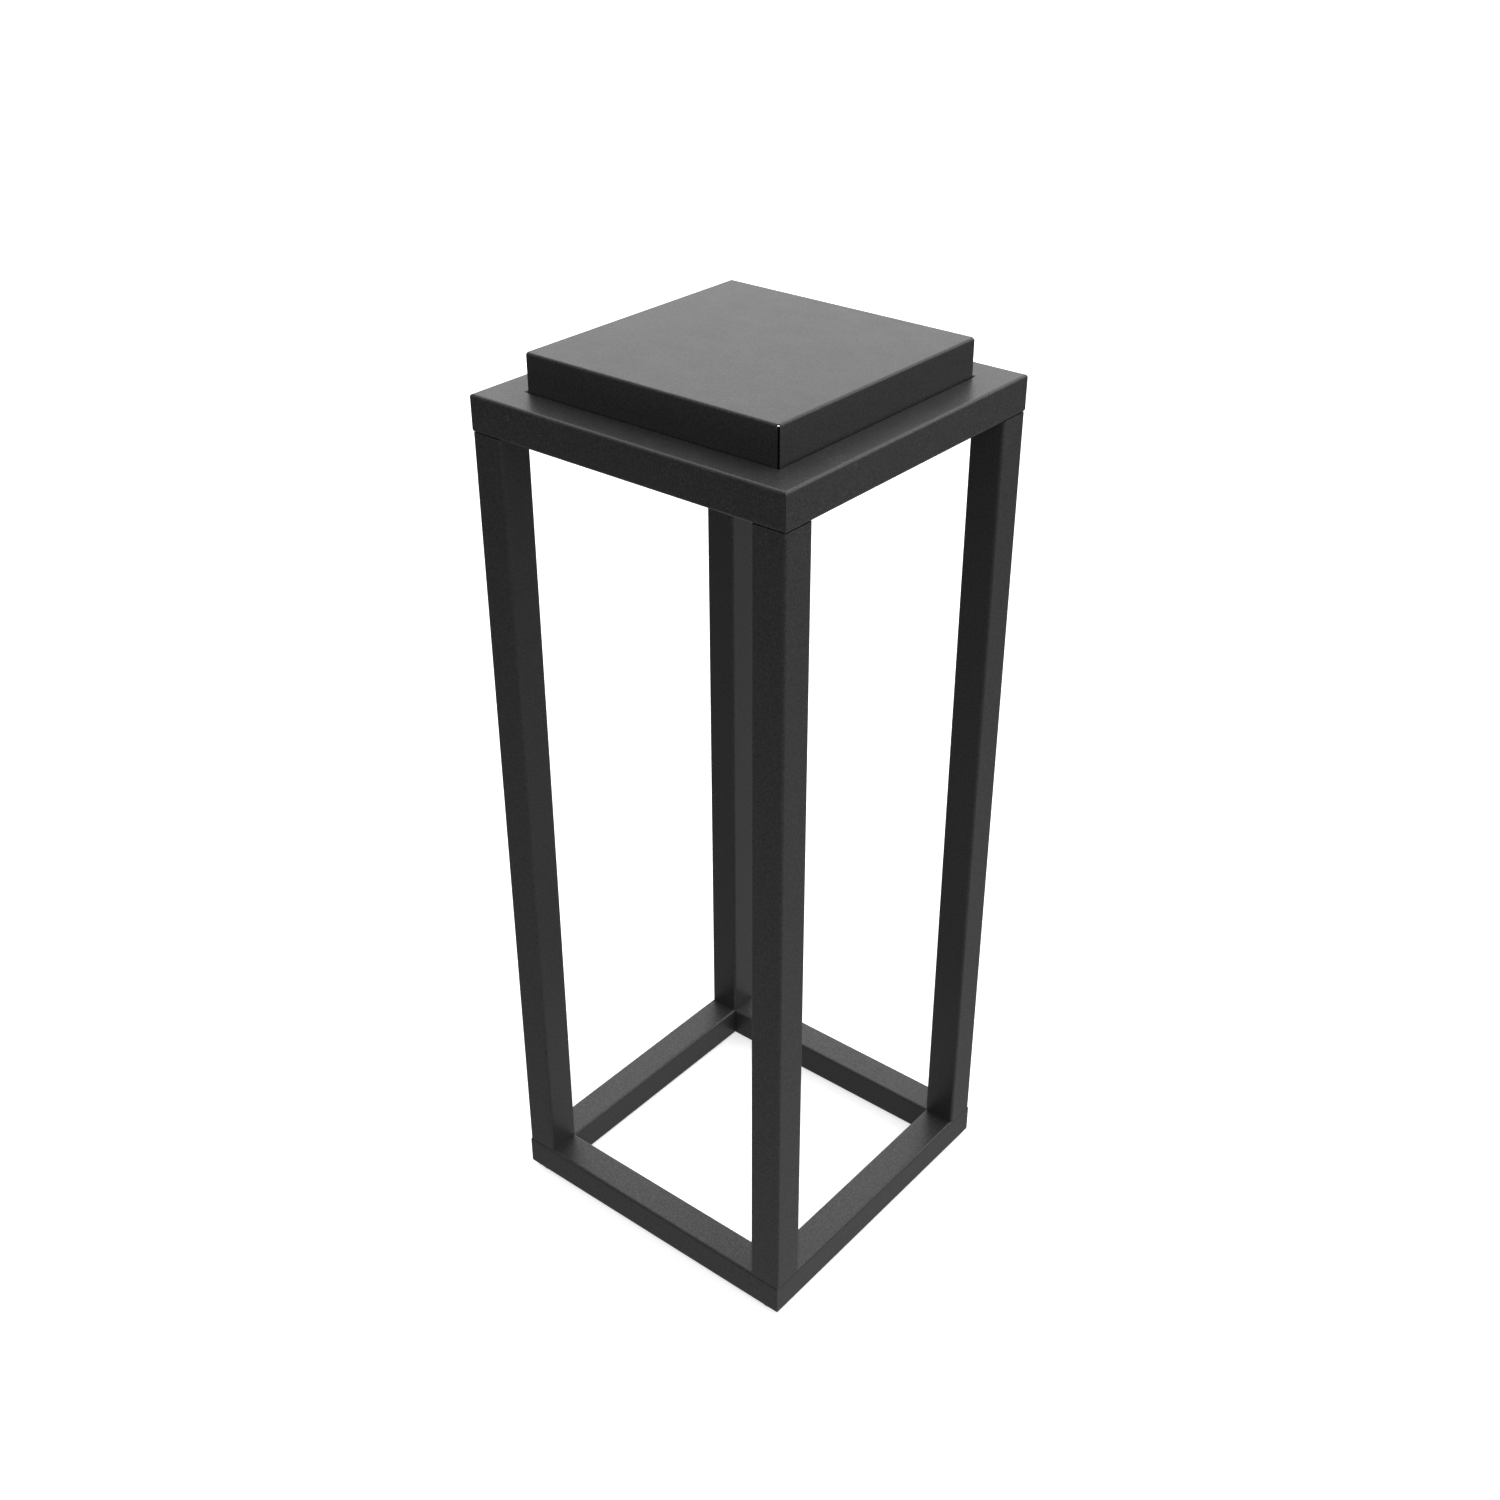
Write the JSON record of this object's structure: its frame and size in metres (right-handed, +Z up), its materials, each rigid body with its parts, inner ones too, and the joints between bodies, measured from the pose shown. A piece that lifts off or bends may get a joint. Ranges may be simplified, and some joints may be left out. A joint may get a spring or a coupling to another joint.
{
  "type": "display plinth",
  "caption": "Tall square display plinth: an open dark frame of mitred square tube, with a drop-in folded sheet lid standing above its top ring, on low levelling feet.",
  "frame": {"origin": "on the floor, at the centre of the four feet", "axes": "+Z up, the front faces -Y, +X to the right"},
  "size_m": [0.3, 0.3, 0.8037],
  "materials": {
    "frame_coat": "fine-textured satin anthracite powder coat",
    "lid_coat": "fine-textured satin anthracite powder coat",
    "zinc_steel": "bright zinc plate",
    "glide_plastic": "moulded black nylon",
    "felt": "pressed felt"
  },
  "bodies": {
    "frame": {"base_tube_front": "frame_coat", "base_tube_right": "frame_coat", "base_tube_back": "frame_coat", "base_tube_left": "frame_coat", "leg_front_left": "frame_coat", "leg_front_right": "frame_coat", "leg_back_right": "frame_coat", "leg_back_left": "frame_coat", "top_tube_front": "frame_coat", "top_tube_right": "frame_coat", "top_tube_back": "frame_coat", "top_tube_left": "frame_coat", "lid_bracket_front_left": "frame_coat", "lid_bracket_front_right": "frame_coat", "lid_bracket_back_right": "frame_coat", "lid_bracket_back_left": "frame_coat", "lid_pad_front_left": "felt", "lid_pad_front_right": "felt", "lid_pad_back_right": "felt", "lid_pad_back_left": "felt", "foot_bush_front_left": "zinc_steel", "foot_bush_front_right": "zinc_steel", "foot_bush_back_right": "zinc_steel", "foot_bush_back_left": "zinc_steel"},
    "lid": {"top_lid": "lid_coat"},
    "foot_front_left": {"foot_stem_front_left": "zinc_steel", "foot_glide_front_left": "glide_plastic"},
    "foot_front_right": {"foot_stem_front_right": "zinc_steel", "foot_glide_front_right": "glide_plastic"},
    "foot_back_right": {"foot_stem_back_right": "zinc_steel", "foot_glide_back_right": "glide_plastic"},
    "foot_back_left": {"foot_stem_back_left": "zinc_steel", "foot_glide_back_left": "glide_plastic"}
  },
  "joints": [
    {"name": "lid_lift", "type": "slide", "parent": "frame", "child": "lid", "axis": [0, 0, 1], "range_m": [0, 0.08]},
    {"name": "foot_front_left_screw", "type": "slide", "parent": "frame", "child": "foot_front_left", "axis": [0, 0, -1], "range_m": [0, 0.01]},
    {"name": "foot_front_right_screw", "type": "slide", "parent": "frame", "child": "foot_front_right", "axis": [0, 0, -1], "range_m": [0, 0.01]},
    {"name": "foot_back_right_screw", "type": "slide", "parent": "frame", "child": "foot_back_right", "axis": [0, 0, -1], "range_m": [0, 0.01]},
    {"name": "foot_back_left_screw", "type": "slide", "parent": "frame", "child": "foot_back_left", "axis": [0, 0, -1], "range_m": [0, 0.01]}
  ]
}
